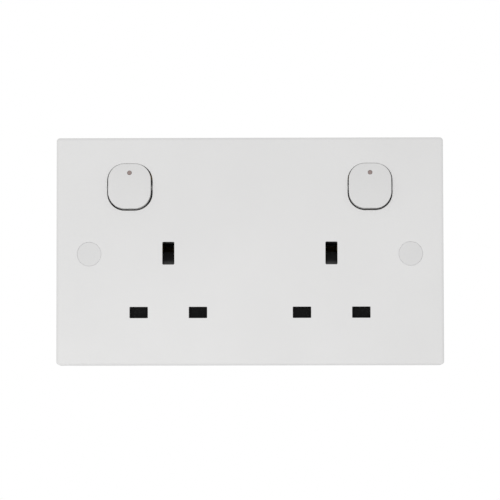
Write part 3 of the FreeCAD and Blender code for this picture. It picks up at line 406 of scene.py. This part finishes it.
def turn_corners(piece, centre, size, corner, trim):
    """Turn an outline's corners, seen from the front, more tightly or, below zero, more widely."""
    for vertex in piece.data.vertices:
        x, z = vertex.co.x - centre[0], vertex.co.z - centre[1]
        right, up = abs(x) - size[0] / 2 + corner, abs(z) - size[1] / 2 + corner
        away = math.hypot(right, up)
        if min(right, up) < -NEAR or not max(trim, NEAR) < away < corner + NEAR:
            continue
        kept = (away - trim) / away
        vertex.co.x = centre[0] + math.copysign(size[0] / 2 - corner + trim + right * kept, x)
        vertex.co.z = centre[1] + math.copysign(size[1] / 2 - corner + trim + up * kept, z)


def widen_opening(piece):
    """Set the right side of the left rocker's opening further out, as the photograph has it."""
    core = OPENING_HALF[0] - OPENING_CORNER
    for vertex in piece.data.vertices:
        x, z = vertex.co.x - OPENING_AT[0], abs(vertex.co.z - OPENING_AT[1])
        right, up = x - core, z - OPENING_HALF[1] + OPENING_CORNER
        away = math.hypot(right, up) if up > 0 else right
        if right > NEAR and abs(away - OPENING_CORNER) < NEAR:
            vertex.co.x += OPENING_WIDER * right / OPENING_CORNER


def crisp_plate():
    """The front plate, its own corners turned more tightly and the apertures' more widely."""
    piece = finer("front_plate", "crisp_plate")
    low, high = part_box("front_plate")
    middle, size = (low + high) / 2, high - low
    turn_corners(piece, (middle.x, middle.z), (size.x, size.z), PLATE_CORNER, PLATE_TRIM)
    for across, level, width, height, wider in APERTURES:
        for side in (-1, 1):
            place = (side * across * MM, level * MM)
            turn_corners(piece, place, (width * MM, height * MM), SLOT_CORNER, -wider * MM)
    widen_opening(piece)


def close_cap(side):
    """The cover over a fixing screw, which fits its hole more closely and has a finer edge."""
    piece = finer("screw_cap_" + side, "screw_cover_" + side)
    low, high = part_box("screw_cap_" + side)
    axis = axis_of(low, high)
    rim = (high.z - low.z) / 2
    for vertex in piece.data.vertices:
        away = Vector((vertex.co.x - axis.x, 0, vertex.co.z - axis.z))
        inward, back = rim - away.length, vertex.co.y - low.y
        if inward > CAP_EDGE + ROUGHLY:
            continue
        if back < CAP_EDGE:
            vertex.co.y = low.y + back * CAP_SHARPER
        wide = rim + CAP_CLOSER - inward * CAP_SHARPER
        vertex.co.x = axis.x + away.x / away.length * wide
        vertex.co.z = axis.z + away.z / away.length * wide


def slim_rocker(side):
    """The rocker, with the slightly wider gap that the photograph shows along its two sides."""
    piece = finer("rocker_" + side, "slim_rocker_" + side)
    axle = JOINTS[f"rocker_{side}_tilt"]["pos_m"][0]
    for vertex in piece.data.vertices:
        away = abs(vertex.co.x - axle)
        if ROCKER_CORE < away < ROCKER_HALF + ROUGHLY:
            share = (away - ROCKER_CORE) / (ROCKER_HALF - ROCKER_CORE)
            trim = ROCKER_TRIMS[side][vertex.co.x > axle]
            vertex.co.x -= math.copysign(trim * share, vertex.co.x - axle)


def coil(kind, side):
    """A spring that the plunger or the shutter is pushed against, copied into a piece with a mesh
    of its own.
    """
    piece = finer(f"{kind}_spring_{side}", f"{kind}_coil_{side}")
    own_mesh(piece)


def terminal_mark(number, letter, across):
    """A raised letter under a terminal's screw, read from behind."""
    curve = bpy.data.curves.new("terminal_mark", "FONT")
    curve.body = letter
    curve.size = MARK_SIZE
    curve.extrude = MARK_STAND
    curve.bevel_depth = MARK_EDGE
    curve.align_x = "CENTER"
    written = bpy.data.objects.new("written", curve)
    bpy.context.collection.objects.link(written)
    bpy.context.view_layer.update()
    graph = bpy.context.evaluated_depsgraph_get()
    shape = bpy.data.meshes.new_from_object(written.evaluated_get(graph))
    bpy.data.objects.remove(written)
    piece = bpy.data.objects.new(f"terminal_mark_{number}", shape)
    piece.location = (across, HOUSING_BACK, MARK_LEVEL)
    piece.rotation_euler = (math.pi / 2, 0, math.pi)
    bpy.context.collection.objects.link(piece)
    piece.data.materials.append(looks["dark_housing"])
    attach(piece, "base")


# Surroundings


def floor():
    """A plain pale floor, well below the socket."""
    mesh = bpy.data.meshes.new("floor")
    across = (-FLOOR_REACH, FLOOR_REACH)
    corners = [(x, y, FLOOR_LEVEL) for y in across for x in across]
    mesh.from_pydata(corners, [], [(0, 1, 3, 2)])
    plane = bpy.data.objects.new("floor", mesh)
    bpy.context.collection.objects.link(plane)
    plane.data.materials.append(surface(
        "pale_floor", (grey(0.93), grey(0.95)), 2, (0.6, 0.7), 20, 0.00005, 200,
    ))


def lamp(name, place, aim, width, height, power):
    """A soft rectangular light at a place in metres, turned towards another."""
    data = bpy.data.lights.new(name, "AREA")
    data.shape = "RECTANGLE"
    data.size, data.size_y = width, height
    data.energy = power
    light = bpy.data.objects.new(name, data)
    light.location = place
    light.rotation_euler = (Vector(aim) - Vector(place)).to_track_quat("-Z", "Y").to_euler()
    bpy.context.collection.objects.link(light)


def white_room():
    """A white background whose own light on the socket is softer than it looks."""
    world = bpy.data.worlds.new("white_room")
    world.use_nodes = True
    tree = world.node_tree
    back = tree.nodes["Background"]
    back.inputs["Color"].default_value = (1, 1, 1, 1)
    path = tree.nodes.new("ShaderNodeLightPath")
    glow = node(tree, "ShaderNodeMapRange", **{"To Min": ROOM_GLOW, "To Max": 1.0})
    tree.links.new(path.outputs["Is Camera Ray"], glow.inputs["Value"])
    tree.links.new(glow.outputs["Result"], back.inputs["Strength"])
    bpy.context.scene.world = world


def camera():
    """The photograph's camera."""
    data = bpy.data.cameras.new("camera")
    data.lens = LENS
    data.sensor_width = SENSOR
    data.clip_end = SIGHT
    view = bpy.data.objects.new("camera", data)
    view.location = CAMERA_AT
    ahead = Vector((
        math.sin(YAW) * math.cos(PITCH), math.cos(YAW) * math.cos(PITCH), math.sin(PITCH),
    ))
    turn = ahead.to_track_quat("-Z", "Y") @ Quaternion((0, 0, 1), ROLL)
    view.rotation_euler = turn.to_euler()
    bpy.context.collection.objects.link(view)
    bpy.context.scene.camera = view


looks = finishes()
# Painted glint: the shutters' black made lighter on their ramps
for start, end, tone in SHUTTER_PAINTED_GLINT:
    paint_light_by_level(looks["black_shutter"], start, end, grey(tone))
dress(looks)
crisp_plate()
for side in SIDES:
    threaded_screw(side)
    close_cap(side)
    slim_rocker(side)
    coil("plunger", side)
    coil("shutter", side)
for number, (letter, across) in enumerate(TERMINALS):
    terminal_mark(number, letter, across)
floor()
white_room()
for settings in LAMPS:
    lamp(*settings)
camera()
bpy.context.scene.view_settings.view_transform = "Standard"
